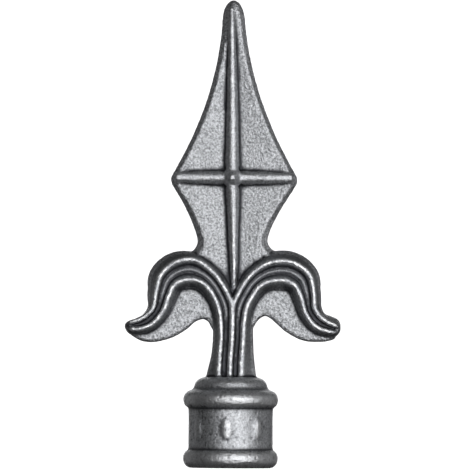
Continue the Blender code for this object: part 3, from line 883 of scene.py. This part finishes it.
def noise(tree, place, size, detail):
    """Noise whose pattern has the given size, read at a place."""
    settings = {"Scale": 1 / size, "Detail": detail, "Roughness": 0.6}
    return add(tree, "ShaderNodeTexNoise", settings, Vector=place).outputs["Fac"]


def ranged(tree, value, **ends):
    """A value taken from one range to another, each 0 to 1 unless its ends are given."""
    settings = {name.replace("_", " "): end for name, end in ends.items()}
    return add(tree, "ShaderNodeMapRange", settings, Value=value).outputs["Result"]


def attribute(tree, name):
    """The value that the mesh keeps under a name for each point."""
    return add(tree, "ShaderNodeAttribute", {"attribute_name": name}).outputs["Fac"]


def sand_cast_grey_iron():
    """Grey iron as it leaves a sand mould, brushed clean.

    The eye sees a dull silver-grey metal whose flat fields sparkle with sand grain and whose
    ridges are rubbed bright. Its hollows, the arms' troughs and the socket's pits are darkened by
    painted shade.
    """
    iron = bpy.data.materials.new("sand_cast_grey_iron")
    iron.use_nodes = True
    tree = iron.node_tree
    shader = tree.nodes["Principled BSDF"]
    shader.inputs["Metallic"].default_value = 0.9
    place = add(tree, "ShaderNodeTexCoord").outputs["Object"]
    worn, painted_shade, field = (attribute(tree, name) for name in ("worn", "painted_shade", "field"))

    # The sand's grain is coarser than real moulding sand, so that it shows
    grain_size, stain_size = 0.65 * MM, 9 * MM
    grain = noise(tree, place, grain_size, 3.0)
    stain = noise(tree, place, stain_size, 4.0)
    stain_share = ranged(tree, stain, From_Min=0.35, From_Max=0.7)
    grain_share = ranged(tree, grain, From_Min=0.35, From_Max=0.65)
    speckle_share = ranged(tree, field, To_Min=0.65, To_Max=1.0)

    plain = mix(tree, linear("#b4b6ba"), linear("#d0d2d6"), stain_share)
    speckled = mix(tree, linear("#96989b"), linear("#e6e8ec"), grain_share)
    surface = mix(tree, plain, speckled, speckle_share)
    # Painted shade: the colour darkens toward #45464a in hollows, troughs and pits, in place of
    # the shade that falls there
    with_painted_shade = mix(tree, surface, linear("#45464a"), painted_shade)
    rubbed = mix(tree, with_painted_shade, linear("#f6f7f8"), worn)
    tree.links.new(rubbed, shader.inputs["Base Color"])

    rough = ranged(tree, worn, To_Min=0.46, To_Max=0.33)
    tree.links.new(rough, shader.inputs["Roughness"])
    depth = ranged(tree, field, To_Min=0.18 * MM, To_Max=0.34 * MM)
    bump = add(tree, "ShaderNodeBump", {"Strength": 1.0}, Height=grain, Distance=depth)
    tree.links.new(bump.outputs["Normal"], shader.inputs["Normal"])
    return iron


def pale_stage(name, strength):
    """Plain pale paper, lit evenly from within so that it shows no shadow's edge."""
    paper = bpy.data.materials.new(name)
    paper.use_nodes = True
    shader = paper.node_tree.nodes["Principled BSDF"]
    shader.inputs["Base Color"].default_value = linear("#f4f4f4")
    shader.inputs["Roughness"].default_value = 0.9
    shader.inputs["Emission Color"].default_value = linear("#ffffff")
    shader.inputs["Emission Strength"].default_value = strength
    return paper


def studio():
    """Pale floor and backdrop, a soft light beside the camera and dim fills."""
    scene = bpy.context.scene
    scene.view_settings.view_transform = "Standard"
    world = bpy.data.worlds.new("studio_air")
    world.use_nodes = True
    air = world.node_tree.nodes["Background"]
    air.inputs["Color"].default_value = linear("#ffffff")
    air.inputs["Strength"].default_value = AIR_STRENGTH
    scene.world = world

    bpy.ops.mesh.primitive_plane_add(size=FLOOR_SIZE, location=(0, 0, 0))
    floor = bpy.context.object
    floor.name = "floor"
    bpy.ops.mesh.primitive_uv_sphere_add(segments=48, ring_count=24, radius=BACKDROP_RADIUS)
    backdrop = bpy.context.object
    backdrop.name = "backdrop"
    for piece, strength in ((floor, FLOOR_STRENGTH), (backdrop, BACKDROP_STRENGTH)):
        piece.data.materials.append(pale_stage(piece.name + "_paper", strength))
        piece.visible_diffuse = False
        piece.visible_glossy = False
    backdrop.visible_shadow = False

    for light in LIGHTS:
        soft_light(*light)


def soft_light(name, azimuth, elevation, size, watts):
    """A soft box aimed at the finial's middle, its azimuth counted from the camera rightward."""
    light = bpy.data.lights.new(name, "AREA")
    light.shape = "RECTANGLE"
    light.size, light.size_y = size
    light.energy = watts
    lamp = bpy.data.objects.new(name, light)
    bpy.context.scene.collection.objects.link(lamp)
    turn, tilt = math.radians(azimuth), math.radians(elevation)
    reach = LIGHT_DISTANCE * math.cos(tilt)
    up = HEIGHT * MM / 2 + LIGHT_DISTANCE * math.sin(tilt)
    lamp.location = (reach * math.sin(turn), -reach * math.cos(turn), up)
    lamp.rotation_euler = (math.pi / 2 - tilt, 0, turn)
    lamp.visible_camera = False


def camera():
    """A long lens near the socket's height, aimed at the finial's middle.

    The finial stands on the picture's base row and its tip reaches the picture's top row.
    """
    mm_per_pixel = HEIGHT / BASE_PIXEL
    distance = LENS * PICTURE_PIXELS * mm_per_pixel / SENSOR
    middle = PICTURE_PIXELS / 2
    across = (middle - AXIS_PIXEL) * mm_per_pixel - AXIS_LEAN * EYE_HEIGHT
    up = (BASE_PIXEL - middle) * mm_per_pixel
    lens = bpy.data.cameras.new("camera")
    lens.lens = LENS
    lens.sensor_width = SENSOR
    body = bpy.data.objects.new("camera", lens)
    bpy.context.scene.collection.objects.link(body)
    body.location = (across * MM, -distance * MM, EYE_HEIGHT * MM)
    tilt = math.atan((up - EYE_HEIGHT) / distance)
    body.rotation_euler = (math.pi / 2 + tilt, -math.atan(AXIS_LEAN), 0)
    bpy.context.scene.camera = body


def main():
    """Build the casting from its forms, dress it, and light it for the camera."""
    shells = [blade(), long_rib(), cross_rib(), boss(), socket()]
    for side in (1, -1):
        shells += [arm(side), web(side), waist_fillet(side)]
    middle = (OVALS_PER_FACE - 1) / 2
    for face_angle in (0, 180):
        for index in range(OVALS_PER_FACE):
            shells.append(oval(face_angle + OVAL_TURN + (index - middle) * OVAL_SPACING))
    casting = fused(shells)
    weather(casting)
    thin(casting)
    casting.data.shade_smooth()
    casting.data.materials.append(sand_cast_grey_iron())
    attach(casting, "root")
    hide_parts(NODE)
    studio()
    camera()


main()
